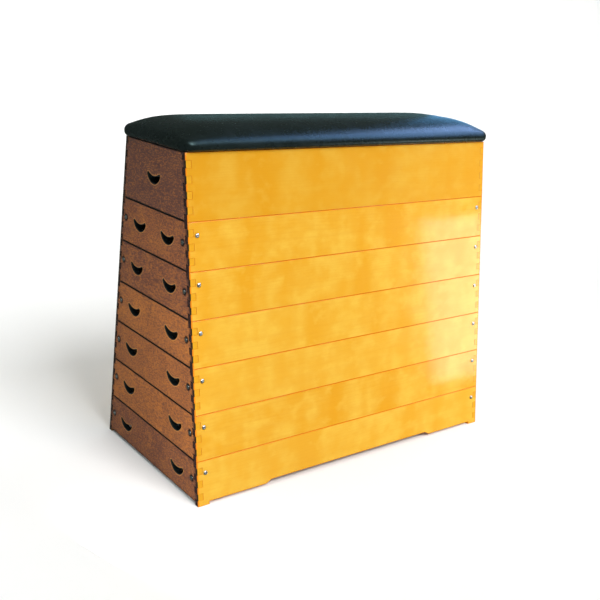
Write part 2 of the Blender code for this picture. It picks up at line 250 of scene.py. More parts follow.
def make_piece(name, points, faces, material, sharp=35.0, facts=None):
    """A piece of points and faces, turned outwards. facts are numbers for each point."""
    mesh = bpy.data.meshes.new(name)
    mesh.from_pydata(points.reshape(-1, 3).tolist(), [], faces)
    for key, values in (facts or {}).items():
        kind = "FLOAT_VECTOR" if values.ndim > 1 else "FLOAT"
        layer = mesh.attributes.new(key, kind, "POINT")
        layer.data.foreach_set("vector" if values.ndim > 1 else "value", values.ravel())
    body = bmesh.new()
    body.from_mesh(mesh)
    bmesh.ops.recalc_face_normals(body, faces=body.faces)
    body.to_mesh(mesh)
    body.free()
    mesh.shade_smooth()
    mesh.set_sharp_from_angle(angle=math.radians(sharp))
    mesh.materials.append(material)
    piece = bpy.data.objects.new(name, mesh)
    bpy.context.collection.objects.link(piece)
    return piece


def moved_in(outline, inset):
    """An outline moved into the wood on its left, each side by its own amount.

    A corner goes where its two moved sides meet: along both sides' normals, by the amounts that
    solve for the two distances. inset has a row for each ring and a column for each side.
    """
    side = np.roll(outline, -1, 0) - outline
    normal = np.stack((-side[:, 1], side[:, 0]), 1) / np.linalg.norm(side, axis=1)[:, None]
    before = np.roll(normal, 1, 0)
    cosine = (before * normal).sum(1)
    reach_before = np.roll(inset, 1, 1)
    spread = np.maximum(1 - cosine ** 2, 1e-9)
    straight = cosine > 0.9999
    along_before = np.where(straight, inset / 2, (reach_before - cosine * inset) / spread)
    along_own = np.where(straight, inset / 2, (inset - cosine * reach_before) / spread)
    return outline + along_before[..., None] * before + along_own[..., None] * normal


def edge_rounding(thickness, ease, back):
    """Shares of a board's edge rounding, ring by ring, from its outer face to its inner face.

    Two rings lie flat on the outer face, where the stain of the edge begins and where it is half
    as strong. The edges turn over along quarter circles. A ring that holds the shading stands
    just before and just after each of them. Returns each ring's share of the stain's width, its
    share of the outer rounding, its inset at the inner rounding, and its depth.
    """
    turn = np.linspace(0, math.pi / 2, EASE_STEPS + 1)
    outer = np.concatenate(([1, 1, 1], 1 - np.sin(turn), [0]))
    outer_depth = np.concatenate(([0, 0, 0], ease * (1 - np.cos(turn)), [ease + HOLD]))
    inner = np.concatenate(([0], back * (1 - np.cos(turn)), [back + HOLD]))
    inner_depth = thickness - np.concatenate(([back + HOLD], back * (1 - np.sin(turn)), [0]))
    share = np.concatenate((outer, np.zeros_like(inner)))
    inset = np.concatenate(([HOLD] * 3, np.zeros(len(outer) - 3), inner))
    stain = np.zeros_like(share)
    stain[:2] = 1, BARE_SHARE
    return stain, share, inset, np.concatenate((outer_depth, inner_depth))


def board_piece(name, loops, place, material, shift, tone):
    """A board from its outline and holes, each with its edge roundings, set into the box by place.

    The profile of edge_rounding is carried along each loop, and the loop's drift leans it with
    depth. Outlines run anticlockwise and holes clockwise, so that the wood is always on their
    left. Each point takes its loop's share of seam within the stain and past it, of hole_shade
    from the rounding on, and of end grain as the edge turns over. hole_shade is painted shade on
    the walls of a handhole. A hole's rim lies where its stain is half as strong, and takes a
    painted highlight.
    """
    stain, share, inset, depth = edge_rounding(BOARD, CORNER_EASE, INNER_EASE)
    outer = np.clip((BOARD - depth) / INNER_EASE, 0, 1)
    turned = np.clip(depth / CORNER_EASE, 0, 1) ** 3 * outer
    soft = np.interp(stain, (0, BARE_SHARE, 1), (1, 0.5, 0)) * outer
    # Where the painted shade of a handhole's walls lies: from the outer rounding in
    strong = (stain == 0) * outer
    # Where the painted highlight round a handhole lies: where its stain is half as strong
    rim = (stain == BARE_SHARE) * 1.0
    points, faces, caps = [], [], ([], [])
    facts = {key: [] for key in ("grain", "tone", "seam", "end_grain", "hole_shade", "rim", "inside")}
    start = 0
    for loop in loops:
        reach = stain[:, None] * loop.stain + share[:, None] * loop.ease + inset[:, None]
        ring = moved_in(loop.outline, reach)
        ring = ring + np.array((0.0, loop.drift)) * (depth / BOARD)[:, None, None]
        deep = np.broadcast_to(depth[:, None], ring.shape[:2])
        points.append(np.stack(place(ring[..., 0], ring[..., 1], deep), -1).reshape(-1, 3))
        grain = np.stack((ring[..., 0], ring[..., 1], deep), -1).reshape(-1, 3)
        facts["grain"].append(grain + shift)
        facts["tone"].append(np.full(deep.size, tone))
        facts["seam"].append(np.outer(soft, loop.seam).ravel())
        facts["end_grain"].append(np.outer(turned, loop.end_grain).ravel())
        facts["hole_shade"].append(np.outer(strong, loop.hole_shade).ravel())
        facts["rim"].append(np.outer(rim, loop.hole_shade).ravel())
        # Inner faces: partly bare wood, partly painted shade inside the box
        facts["inside"].append(np.repeat(1 - outer, len(loop.outline)))
        faces += band(len(depth), len(loop.outline), start)
        for cap, row in zip(caps, (0, len(depth) - 1)):
            cap.append((start + row * len(loop.outline), ring[row]))
        start += ring.shape[0] * ring.shape[1]
    for cap in caps:
        numbers = np.concatenate([first + np.arange(len(flat)) for first, flat in cap])
        polygons = [[Vector((x, y, 0.0)) for x, y in flat] for first, flat in cap]
        faces += [[int(numbers[i]) for i in triangle] for triangle in tessellate_polygon(polygons)]
    facts = {key: np.concatenate(values) for key, values in facts.items()}
    return make_piece(name, np.concatenate(points), faces, material, facts=facts)


# Boards


class Loop:
    """An outline or a hole of a board: its points, and for each the rounding and the stain of the
    side after it and its shares of dark seam, end grain and hole_shade, the painted shade of a
    handhole's walls. drift is how far it leans across the board."""

    def __init__(self, outline, ease, stain, seam=0.0, end_grain=0.0, hole_shade=0.0, drift=0.0):
        self.outline = outline
        self.ease, self.stain, self.seam, self.end_grain, self.hole_shade = (
            np.broadcast_to(values, len(outline))
            for values in (ease, stain, seam, end_grain, hole_shade))
        self.drift = drift


def finger_side(height, bottom, first_is_finger, tip, root):
    """One fingered end of a board, from its bottom up: points, roundings and end grain.

    The height is cut into an odd number of equal bands, which are fingers and notches in turn.
    Each finger is narrower and each notch wider by the gap between them.
    """
    count = 2 * round((height / FINGER - 1) / 2) + 1
    levels = height * np.arange(count + 1) / count
    levels[0] = bottom
    is_finger = (np.arange(count) % 2 == 0) == first_is_finger
    slack = np.where(is_finger, FIT_GAP / 2, -FIT_GAP / 2)
    low, high = levels[:-1] + slack, levels[1:] - slack
    low[0], high[-1] = levels[0], levels[-1]
    z = np.stack((low, high), 1).ravel()
    finger = np.repeat(is_finger, 2)
    reach = np.where(finger, tip(z), root(z))
    ease = np.full(2 * count, JOINT_EASE)
    ease[::2] = np.where(is_finger, CORNER_EASE, JOINT_EASE)
    return np.stack((reach, z), 1), ease, finger.astype(float)


def board_outline(right, underside, seam_ease, seam_stain, corner_stain):
    """A whole outline, anticlockwise: the underside, a fingered end, and the same end mirrored."""
    points, ease, end_share = right
    mirrored = points[::-1] * np.array((-1.0, 1.0))
    left_ease = np.concatenate((ease[-2::-1], [seam_ease]))
    right_ease = np.concatenate((ease[:-1], [seam_ease]))
    outline = np.concatenate((underside, points, mirrored))
    eases = np.concatenate((np.full(len(underside), seam_ease), right_ease, left_ease))
    stains = np.where(eases == seam_ease, seam_stain,
                      np.where(eases == CORNER_EASE, corner_stain, JOINT_STAIN))
    ends = np.concatenate((np.zeros(len(underside)), end_share, end_share[::-1]))
    return Loop(outline, eases, stains, seam=1.0, end_grain=ends)


def bolt_hole(x, z, stain, seam=1.0, drift=0.0):
    """A round hole, clockwise, that leans with the bolt by drift over the board's thickness."""
    turn = -2 * math.pi * np.arange(BOLT_HOLE_SIDES) / BOLT_HOLE_SIDES
    radius = BOLT_RADIUS + BOLT_CLEARANCE
    points = np.stack((x + radius * np.cos(turn), z + radius * np.sin(turn)), 1)
    return Loop(points, BOLT_HOLE_EASE, stain, seam=seam, drift=drift)


def handhole(centre, tip_height):
    """A crescent with its tips up, clockwise.

    Its middle line is an arc of a circle. It is thickest in the middle, thins out with the square
    of the way to its ends, and ends in half circles.
    """
    half_chord = (HOLE_WIDTH - HOLE_TIP) / 2
    radius = (half_chord ** 2 + HOLE_SAG ** 2) / (2 * HOLE_SAG)
    reach = math.asin(half_chord / radius)
    along = np.linspace(-1, 1, HOLE_STEPS + 1)
    half = (HOLE_TIP + (HOLE_MIDDLE - HOLE_TIP) * (1 - along ** 2)) / 2
    turn = np.linspace(0, math.pi, HOLE_TIP_STEPS + 1)[1:-1]

    def polar(distance, angle):
        return np.stack((distance * np.sin(angle), radius - HOLE_SAG - distance * np.cos(angle)), 1)

    def tip(side):
        middle = polar(np.full(len(turn), radius), np.full(len(turn), side * reach))
        out = np.array((math.cos(reach) * side, math.sin(reach)))
        away = np.array((math.sin(reach) * side, -math.cos(reach)))
        ring = np.cos(turn)[:, None] * away + np.sin(turn)[:, None] * out
        return middle + ring * HOLE_TIP / 2

    lower = polar(radius + half, along * reach)
    upper = polar(radius - half, along * reach)
    outline = np.concatenate((lower, tip(1), upper[::-1], tip(-1)[::-1]))[::-1]
    outline = outline + np.array((centre, tip_height))
    # A handhole's walls take painted shade, and its rim a painted highlight
    return Loop(outline, HOLE_EASE, HOLE_STAIN, hole_shade=1.0)


def base_underside():
    """The underside of the base's long boards, left to right: foot, relief, arch, relief, foot."""
    half_arch = ARCH_LENGTH / 2
    foot = HALF_LENGTH - FOOT_LENGTH
    right = np.array(((half_arch, FOOT_HEIGHT + ARCH_RISE),
                      (half_arch + ARCH_SHOULDER, FOOT_HEIGHT),
                      (foot, FOOT_HEIGHT), (foot, 0.0)))
    return np.concatenate((right[::-1] * np.array((-1.0, 1.0)), right))


def long_board(number, side, sign, material, shift, tone):
    """A leaning long board: flat along its depth, and pushed across the box as it rises."""
    height, floor = section_height(number), section_bottom(number)
    is_base = number == BASE_SECTION
    right = finger_side(height, 0.0 if is_base else FIT_GAP, True,
                        lambda z: np.full_like(z, HALF_LENGTH),
                        lambda z: np.full_like(z, HALF_LENGTH - BOARD - FIT_GAP))
    underside = base_underside() if is_base else np.zeros((0, 2))
    loops = [board_outline(right, underside, SIDE_SEAM_EASE, SIDE_SEAM_STAIN, SIDE_CORNER_STAIN)]
    if number > TOP_SECTION:
        x = HALF_LENGTH - SIDE_BOLT_FROM_END
        drift = -math.sin(LEAN) * BOARD
        loops += [bolt_hole(s * x, SIDE_BOLT_HEIGHT, SIDE_BOLT_STAIN, drift=drift)
                  for s in (-1, 1)]

    def place(x, z, depth):
        return x, sign * (half_width(floor + z) - depth / math.cos(LEAN)), floor + z

    return board_piece(f"{side}_board_{number}", loops, place, material, shift, tone)


def end_board(number, end, sign, material, shift, tone):
    """An upright end board with its handholes, whose fingers follow the box's slant."""
    height, floor = section_height(number), section_bottom(number)

    def tip(z):
        return half_width(floor + z)

    def root(z):
        return tip(z) - BOARD_ACROSS - FIT_GAP

    bottom = FOOT_HEIGHT if number == BASE_SECTION else FIT_GAP
    right = finger_side(height, bottom, False, tip, root)
    straight = np.zeros((0, 2))
    loops = [board_outline(right, straight, END_SEAM_EASE, END_SEAM_STAIN, END_CORNER_STAIN)]
    if number == TOP_SECTION:
        loops.append(handhole(0.0, height - TOP_HOLE_BELOW_TOP))
    else:
        z = height - HOLE_BELOW_TOP
        y = tip(z) - HOLE_FROM_SIDE
        bolt_y = tip(END_BOLT_HEIGHT) - END_BOLT_FROM_SIDE
        loops += [handhole(s * y, z) for s in (-1, 1)]
        # Round each end bolt, a ring of painted shadow in the colour of the seams
        loops += [bolt_hole(s * bolt_y, END_BOLT_HEIGHT, END_BOLT_SHADOW, END_BOLT_SHADOW_STRENGTH)
                  for s in (-1, 1)]

    def place(y, z, depth):
        return sign * (HALF_LENGTH - depth), y, floor + z

    return board_piece(f"{end}_end_{number}", loops, place, material, shift, tone)


# Posts and bolts


def corner_piece(name, points, faces, material, number, signs, facts=None):
    """A piece made for the front left corner from (in from the end, in from the side, height)."""
    floor = section_bottom(number)
    x = signs[0] * (HALF_LENGTH - points[..., 0])
    y = signs[1] * (half_width(floor) - points[..., 1])
    placed = np.stack((x, y, floor + points[..., 2]), -1)
    return make_piece(name, placed, faces, material, facts=facts)


def corner_post(number, corner, signs, material, shift):
    """A square post with round edges that leans with the long board and tapers above the section.

    Its section is a square whose corners are quarter circles. The square shrinks at the ends of
    the post along quarter circles, and evenly along the taper.
    """
    top = LOWER_SECTION_HEIGHT + POST_RISE
    turn = np.linspace(0, math.pi / 2, EASE_STEPS + 1)
    foot_height = POST_FOOT + POST_EDGE * (1 - np.cos(turn))
    foot_half = POST / 2 - POST_EDGE * (1 - np.sin(turn))
    top_height = top - POST_EDGE * (1 - np.sin(turn))
    top_half = POST / 2 - POST_TAPER - POST_EDGE * (1 - np.cos(turn))
    height = np.concatenate((foot_height, [LOWER_SECTION_HEIGHT], top_height))
    half = np.concatenate((foot_half, [POST / 2], top_half))
    angle = np.concatenate([turn + math.pi / 2 * quarter for quarter in range(4)])
    way = np.repeat(np.array(((1, 1), (-1, 1), (-1, -1), (1, -1))), EASE_STEPS + 1, 0)
    circle = np.stack((np.cos(angle), np.sin(angle)), 1)
    flat = (half[:, None, None] - POST_EDGE) * way + POST_EDGE * circle
    x = BOARD + POST_CENTRE + flat[..., 0]
    y = BOARD_ACROSS + POST_CENTRE + flat[..., 1] + BATTER * height[:, None]
    z = np.broadcast_to(height[:, None], x.shape)
    points = np.stack((x, y, z), -1)
    count = points.shape[1]
    last = (len(height) - 1) * count
    faces = band(len(height), count) + [list(range(count)), list(range(last, last + count))]
    grain = points[..., (2, 0, 1)].reshape(-1, 3) + shift
    ends = np.zeros(points.shape[:2])
    ends[0] = ends[-1] = 1.0
    facts = {"grain": grain, "end_grain": ends.ravel(), "seam": np.zeros(ends.size)}
    return corner_piece(f"post_{number}_{corner}", points, faces, material, number, signs, facts)


def bolt():
    """Points and faces of a round-headed bolt along +Z, with z = 0 on the board's face.

    Its outline is turned round the axis: a shank with a bevelled end, the flat underside of the
    head, a short rim, and a dome that is part of an ellipse. A cross recess sinks into the dome,
    deepest in the middle and shallower towards the ends of its arms.
    """
    length = BOARD + FIT_GAP + BOLT_BITE
    rim = 0.0007
    dome_turn = np.radians((0, 12, 26, 42, 56, 64, 70, 76, 82, 86))
    dome_radius = BOLT_HEAD_RADIUS * np.cos(dome_turn)
    dome_height = FIT_GAP + rim + (BOLT_HEAD_HEIGHT - rim) * np.sin(dome_turn)
    bevel_share, bevel_height = 0.6, 0.001
    shank_radius = [BOLT_RADIUS * bevel_share, BOLT_RADIUS, BOLT_RADIUS, BOLT_HEAD_RADIUS]
    shank_height = [-length, bevel_height - length, FIT_GAP, FIT_GAP]
    radius = np.concatenate((shank_radius, dome_radius))
    height = np.concatenate((shank_height, dome_height))
    turn = 2 * math.pi * np.arange(BOLT_SIDES) / BOLT_SIDES
    x, y = radius[:, None] * np.cos(turn), radius[:, None] * np.sin(turn)
    z = np.broadcast_to(height[:, None], x.shape).copy()
    arm, arm_width, depth = 0.0030, 0.0006, 0.0013
    across = np.minimum(abs(x), abs(y))
    along = np.maximum(abs(x), abs(y))
    sunk = np.clip(1.5 - across / arm_width, 0, 1) * np.clip((arm - along) / arm * 3, 0, 1)
    z -= np.where(height[:, None] > FIT_GAP, depth * sunk, 0.0)
    last = (len(height) - 1) * BOLT_SIDES
    faces = band(len(height), BOLT_SIDES)
    faces += [list(range(BOLT_SIDES)), list(range(last, last + BOLT_SIDES))]
    return np.stack((x, y, z), -1).reshape(-1, 3), faces


def corner_bolts(number, corner, signs, material):
    """The two bolts of a corner: one square to the leaning long board, one square to the end."""
    points, faces = bolt()
    side_out = np.array((0.0, -math.cos(LEAN), math.sin(LEAN)))
    side_up = np.array((0.0, math.sin(LEAN), math.cos(LEAN)))
    side_foot = np.array((SIDE_BOLT_FROM_END, BATTER * SIDE_BOLT_HEIGHT, SIDE_BOLT_HEIGHT))
    end_foot = np.array((0.0, BATTER * END_BOLT_HEIGHT + END_BOLT_FROM_SIDE, END_BOLT_HEIGHT))
    axes = (((1.0, 0.0, 0.0), side_up, side_out, side_foot),
            ((0.0, 1.0, 0.0), (0.0, 0.0, 1.0), (-1.0, 0.0, 0.0), end_foot))
    placed = [points @ np.array((across, up, out)) + foot for across, up, out, foot in axes]
    second = [[i + len(points) for i in face] for face in faces]
    return corner_piece(f"bolts_{number}_{corner}", np.concatenate(placed), faces + second,
                        material, number, signs)


# The pad


def plan_ring(half_length, half_side, radius):
    """Rounded rectangles, one for each ring, with as many points on each of their stretches.

    A quarter runs straight across the end, round the corner along a quarter circle, and straight
    along the side. It is mirrored to a half, and the half to the whole.
    """
    along = np.linspace(0, 1, POINTS_ALONG)
    across = np.linspace(0, 1, POINTS_ACROSS)
    turn = np.linspace(0, math.pi / 2, POINTS_ROUND)[1:-1]
    straight_x, straight_y = (half_length - radius)[:, None], (half_side - radius)[:, None]
    end_x = np.broadcast_to(half_length[:, None], (len(radius), POINTS_ACROSS))
    end_y = straight_y * across
    arc_x = straight_x + radius[:, None] * np.cos(turn)
    arc_y = straight_y + radius[:, None] * np.sin(turn)
    side_x = straight_x * along[::-1]
    side_y = np.broadcast_to(half_side[:, None], side_x.shape)
    x, y = np.concatenate((end_x, arc_x, side_x), 1), np.concatenate((end_y, arc_y, side_y), 1)
    half_x = np.concatenate((x, -x[:, -2::-1]), 1)
    half_y = np.concatenate((y, y[:, -2::-1]), 1)
    whole_x = np.concatenate((half_x, half_x[:, -2:0:-1]), 1)
    whole_y = np.concatenate((half_y, -half_y[:, -2:0:-1]), 1)
    return whole_x, whole_y


def pad_crown(x, y, half_length, half_side):
    """Share of the crown that the pad reaches: all of it in the middle, none at its outline."""
    along = np.clip(1 - abs(x / half_length) ** PAD_END_POWER, 0, 1) ** PAD_END_SOFTNESS
    across = np.clip(1 - abs(y / half_side) ** PAD_SIDE_POWER, 0, 1) ** PAD_SIDE_SOFTNESS
    return along * across


def pad_surface(depth, lowest):
    """Rings of the pad's surface at a depth inside the leather, from a height above the wood up.

    Below its widest level the surface is drawn in to the wood's edge along a quarter of an
    ellipse. Above it the surface turns inwards round a tight shoulder, another quarter of an
    ellipse. The crown rises over that as the product of two powers of the way across and along.
    """
    seat_length = HALF_LENGTH - PAD_SEAT_INSET - depth
    seat_side = TOP_HALF_WIDTH - PAD_SEAT_INSET - depth
    end_bulge, side_bulge = PAD_END_OVERHANG + PAD_SEAT_INSET, PAD_SIDE_OVERHANG + PAD_SEAT_INSET
    seat = FIT_GAP
    widest = seat + DECK + FIT_GAP + PAD_WIDEST_ABOVE_DECK
    level = lowest + (widest - lowest) * np.linspace(0, 1, TUCK_RINGS)[:-1] ** TUCK_CROWDING
    out = np.sqrt(1 - (1 - (level - seat) / (widest - seat)) ** 2)
    tuck_x, tuck_y = plan_ring(seat_length + end_bulge * out, seat_side + side_bulge * out,
                               PAD_CORNER + side_bulge * out - depth)
    tuck_z = np.broadcast_to(level[:, None], tuck_x.shape)
    half_length, half_side = seat_length + end_bulge, seat_side + side_bulge
    reach, rise = PAD_SHOULDER_REACH - depth, PAD_SHOULDER_RISE - depth
    shoulder_inset = reach * (1 - np.cos(np.linspace(0, math.pi / 2, SHOULDER_RINGS)))
    crown_inset = np.linspace(reach, half_side * CROWN_REACH, CROWN_RINGS)[1:]
    inset = np.concatenate((shoulder_inset, crown_inset))
    radius = np.maximum(PAD_CORNER + side_bulge - depth - inset, PAD_INNER_CORNER)
    radius = np.minimum(radius, half_side - inset - LEAST_STRAIGHT)
    x, y = plan_ring(half_length - inset, half_side - inset, radius)
    turned = np.clip(inset / reach, 0, 1)
    shoulder = widest + rise * np.sqrt(1 - (1 - turned) ** 2)
    crown_rise = PAD_CROWN - widest - PAD_SHOULDER_RISE
    z = shoulder[:, None] + crown_rise * pad_crown(x, y, half_length, half_side)
    rings = (np.concatenate((tuck_x, x)), np.concatenate((tuck_y, y)), np.concatenate((tuck_z, z)))
    return np.stack(rings, -1) + np.array((0.0, 0.0, WOOD_HEIGHT))


def crown_strip(rows, count):
    """Faces that close the crown between the two long sides of its innermost ring."""
    start, faces = (rows - 1) * count, []
    for i in range(count // 2):
        corners = [i, i + 1, (-i - 1) % count, -i % count]
        faces.append([start + corner for corner in dict.fromkeys(corners)])
    return faces


def foam_block(material):
    """The foam under the leather, flat where it lies on the deck."""
    rings = pad_surface(LEATHER + FOAM_SLACK, DECK + 2 * FIT_GAP)
    rows, count = rings.shape[:2]
    faces = band(rows, count) + crown_strip(rows, count) + [list(range(count))]
    return make_piece("foam_block", rings, faces, material, sharp=60.0)


def settle(piece, held_points):
    """Lets the leather settle over the foam: cloth under pressure, held up to its widest level.

    The cover is heavy and stiff, so that it moves by less than two millimetres and no foam comes
    through. No point moves further than the limit.
    """
    start = np.empty(len(piece.data.vertices) * 3)
    piece.data.vertices.foreach_get("co", start)
    held = piece.vertex_groups.new(name="held")
    held.add(list(range(held_points)), 1.0, "REPLACE")
    cloth = piece.modifiers.new("cloth", "CLOTH")
    settings = cloth.settings
    settings.quality = 5
    settings.mass = 20
    settings.tension_stiffness = settings.compression_stiffness = 5000
    settings.shear_stiffness = 2500
    settings.bending_stiffness = 20
    settings.use_pressure = True
    settings.uniform_pressure_force = 4.0
    settings.vertex_group_mass = held.name
    settings.effector_weights.gravity = 0
    cloth.collision_settings.use_collision = False
    cloth.point_cache.frame_start, cloth.point_cache.frame_end = 1, SETTLE_FRAMES
    for step in range(1, SETTLE_FRAMES + 1):
        bpy.context.scene.frame_set(step)
    shaped = piece.evaluated_get(bpy.context.evaluated_depsgraph_get())
    end = np.empty_like(start)
    shaped.data.vertices.foreach_get("co", end)
    piece.modifiers.clear()
    piece.vertex_groups.clear()
    bpy.context.scene.frame_set(1)
    move = (end - start).reshape(-1, 3)
    length = np.linalg.norm(move, axis=1, keepdims=True)
    move *= np.minimum(1, SETTLE_LIMIT / np.maximum(length, 1e-9))
    piece.data.vertices.foreach_set("co", (start.reshape(-1, 3) + move).ravel())
    piece.data.update()


def pad_leather(material):
    """The leather cover: the pad's surface, settled as cloth, with its own thickness inwards."""
    rings = pad_surface(0.0, FIT_GAP)
    rows, count = rings.shape[:2]
    faces = band(rows, count) + crown_strip(rows, count)
    piece = make_piece("pad_leather", rings, faces, material, sharp=180.0)
    settle(piece, TUCK_RINGS * count)
    finer = piece.modifiers.new("finer", "SUBSURF")
    finer.levels = finer.render_levels = 1
    thick = piece.modifiers.new("thickness", "SOLIDIFY")
    thick.thickness = LEATHER
    thick.offset = -1
    return piece


# Materials


class Finish:
    """A material's node tree, with short calls that add a node and give its output."""

    def __init__(self, name):
        self.material = bpy.data.materials.new(name)
        self.material.use_nodes = True
        self.tree = self.material.node_tree
        self.shader = self.tree.nodes["Principled BSDF"]

    def add(self, kind, inputs, output=0, **settings):
        node = self.tree.nodes.new("ShaderNode" + kind)
        for key, value in settings.items():
            setattr(node, key, value)
        for key, value in inputs.items():
            self.feed(node.inputs[key], value)
        return node.outputs[output]

    def feed(self, socket, value):
        if isinstance(value, bpy.types.NodeSocket):
            self.tree.links.new(value, socket)
        else:
            socket.default_value = value

    def set(self, **values):
        for key, value in values.items():
            self.feed(self.shader.inputs[key.replace("_", " ")], value)

    def attribute(self, name, output="Fac"):
        return self.add("Attribute", {}, output, attribute_name=name)

    def position(self):
        return self.add("TexCoord", {}, "Object")

    def scaled(self, vector, factors):
        return self.add("VectorMath", {0: vector, 1: factors}, operation="MULTIPLY")

    def split(self, vector):
        node = self.tree.nodes.new("ShaderNodeSeparateXYZ")
        self.feed(node.inputs[0], vector)
        return node.outputs

    def maths(self, operation, first, second=0.0, third=0.0):
        return self.add("Math", {0: first, 1: second, 2: third}, operation=operation)

    def noise(self, vector, scale=1.0, detail=3.0, roughness=0.5):
        inputs = {"Vector": vector, "Scale": scale, "Detail": detail, "Roughness": roughness}
        return self.add("TexNoise", inputs)

    def span(self, value, low, high, to_low=0.0, to_high=1.0):
        inputs = {"Value": value, "From Min": low, "From Max": high,
                  "To Min": to_low, "To Max": to_high}
        return self.add("MapRange", inputs, clamp=True)

    def mix(self, share, first, second, blend="MIX"):
        inputs = {0: share, 6: first, 7: second}
        return self.add("Mix", inputs, 2, data_type="RGBA", blend_type=blend)

    def bump(self, height, distance, strength=1.0, normal=None):
        inputs = {"Height": height, "Distance": distance, "Strength": strength}
        if normal is not None:
            inputs["Normal"] = normal
        return self.add("Bump", inputs)


def rgb(red, green, blue):
    """A solid colour, as a shader takes it."""
    return (red, green, blue, 1.0)


def varnished_wood(name, shades, roughness, shine, lines, speckle):
    """Fine plain-sawn boards under clear varnish.

    The rings are shells round a pith line in front of the board, bent a little by noise. Soft
    bands of figure cross them, and fibres and short pores lie along them. Rings, fibres and pores
    are as strong as lines says. speckle is how much the stain has settled in dark and light
    flecks. The grain attribute holds the way along, across and into each board. The board's tone
    makes it paler above 0 and darker below it. Its inner face is tinted darker and bluer, partly
    as bare wood and partly as painted shade inside the box. The walls of handholes take painted
    shade and their rims a painted highlight.
    """
    finish = Finish(name)
    grain = finish.attribute("grain", "Vector")
    tone = finish.attribute("tone")
    bend = finish.noise(finish.scaled(grain, (1.6, 9.0, 9.0)), detail=2.0)
    parts = finish.split(grain)
    across = finish.maths("MULTIPLY_ADD", bend, RING_BEND, parts[1])
    into = finish.maths("ADD", parts[2], PITH_DISTANCE)
    radius = finish.maths("SQRT", finish.maths("ADD", finish.maths("MULTIPLY", across, across),
                                               finish.maths("MULTIPLY", into, into)))
    ring = finish.maths("SINE", finish.maths("MULTIPLY", radius, 2 * math.pi / RING_SPACING))
    ring = finish.span(ring, 0.2, 1.0)
    figure = finish.noise(finish.scaled(grain, (9.0, 2.0, 2.0)), detail=2.0, roughness=0.4)
    cloud = finish.noise(finish.scaled(grain, (17.0, 21.0, 21.0)), detail=3.0)
    fibre = finish.noise(finish.scaled(grain, (22.0, 420.0, 420.0)), detail=2.0)
    pore = finish.noise(finish.scaled(grain, (70.0, 1100.0, 1100.0)), detail=1.0)
    pore = finish.span(pore, 0.62, 0.74)
    fleck = finish.noise(finish.scaled(grain, (120.0, 290.0, 290.0)), detail=3.0)
    colour = finish.mix(finish.span(figure, 0.36, 0.64), shades["pale"], shades["amber"])
    colour = finish.mix(finish.span(cloud, 0.50, 0.66, 0.0, 0.55), colour, shades["amber"])
    colour = finish.mix(finish.span(cloud, 0.48, 0.32, 0.0, 0.50), colour, shades["light"])
    colour = finish.mix(finish.maths("MULTIPLY", ring, 0.2 * lines), colour, shades["dark"])
    colour = finish.mix(finish.span(fibre, 0.3, 0.7, 0.0, 0.3 * lines), colour, shades["dark"])
    colour = finish.mix(finish.maths("MULTIPLY", pore, 0.5 * lines), colour, shades["dark"])
    colour = finish.mix(finish.span(tone, 0.0, -1.0), colour, shades["deep"])
    colour = finish.mix(finish.span(tone, 0.0, 1.0), colour, shades["light"])
    colour = finish.mix(finish.span(fleck, 0.50, 0.62, 0.0, speckle), colour, shades["dark"])
    colour = finish.mix(finish.span(fleck, 0.48, 0.36, 0.0, speckle), colour, shades["light"])
    colour = finish.mix(finish.attribute("seam"), colour, shades["seam"])
    colour = finish.mix(finish.attribute("end_grain"), colour, shades["tips"])
    # A painted highlight round the handholes
    colour = finish.mix(finish.attribute("rim"), colour, shades["rim"])
    # Painted shade on the walls of the handholes
    colour = finish.mix(finish.attribute("hole_shade"), colour, shades["hole_shade"])
    # The inner faces, darker and bluer: partly bare wood, partly painted shade inside the box
    colour = finish.mix(finish.attribute("inside"), colour, shades["inside"], "MULTIPLY")
    soft = finish.noise(finish.scaled(grain, (9.0, 9.0, 9.0)))
    rough = finish.span(soft, 0.3, 0.7, roughness - 0.03, roughness + 0.05)
    rough = finish.span(finish.attribute("end_grain"), 0.0, 1.0, rough, END_GRAIN_ROUGHNESS)
    wave = finish.noise(finish.scaled(grain, (5.0, 12.0, 12.0)), detail=1.0)
    height = finish.maths("MULTIPLY_ADD", pore, -0.06, finish.maths("MULTIPLY", fibre, 0.08))
    normal = finish.bump(wave, 0.0008, 0.5)
    normal = finish.bump(height, 0.001, 0.4, normal)
    finish.set(Base_Color=colour, Roughness=rough, Normal=normal)
    finish.shader.inputs["Specular IOR Level"].default_value = shine
    return finish.material


def grained_leather():
    """Black leather: rounded cells of about 2 mm with fine creases between them."""
    finish = Finish("black_leather")
    place = finish.position()
    warp = finish.noise(place, 60.0, detail=2.0)
    bent = finish.add("VectorMath", {0: place, 1: finish.scaled(warp, (0.004, 0.004, 0.004))},
                      operation="ADD")
    cells = finish.add("TexVoronoi", {"Vector": bent, "Scale": 420.0}, feature="DISTANCE_TO_EDGE")
    crease = finish.span(cells, 0.0, 0.22)
    fine = finish.noise(place, 1900.0, detail=1.0)
    soft = finish.noise(place, 5.0, detail=2.0)
    worn = finish.noise(place, 26.0, detail=3.0)
    colour = finish.mix(finish.span(soft, 0.35, 0.7),
                        rgb(0.006, 0.009, 0.008), rgb(0.008, 0.012, 0.012))
    colour = finish.mix(finish.span(worn, 0.55, 0.8, 0.0, 0.5), colour, rgb(0.013, 0.017, 0.018))
    height = finish.maths("MULTIPLY_ADD", fine, 0.15, crease)
    rough = finish.span(worn, 0.3, 0.7, 0.24, 0.32)
    normal = finish.bump(soft, 0.002, 0.4)
    normal = finish.bump(height, 0.00022, 0.35, normal)
    finish.set(Base_Color=colour, Roughness=rough, Normal=normal)
    finish.shader.inputs["Specular IOR Level"].default_value = 0.3
    finish.shader.inputs["Specular Tint"].default_value = rgb(0.55, 0.90, 0.95)
    return finish.material


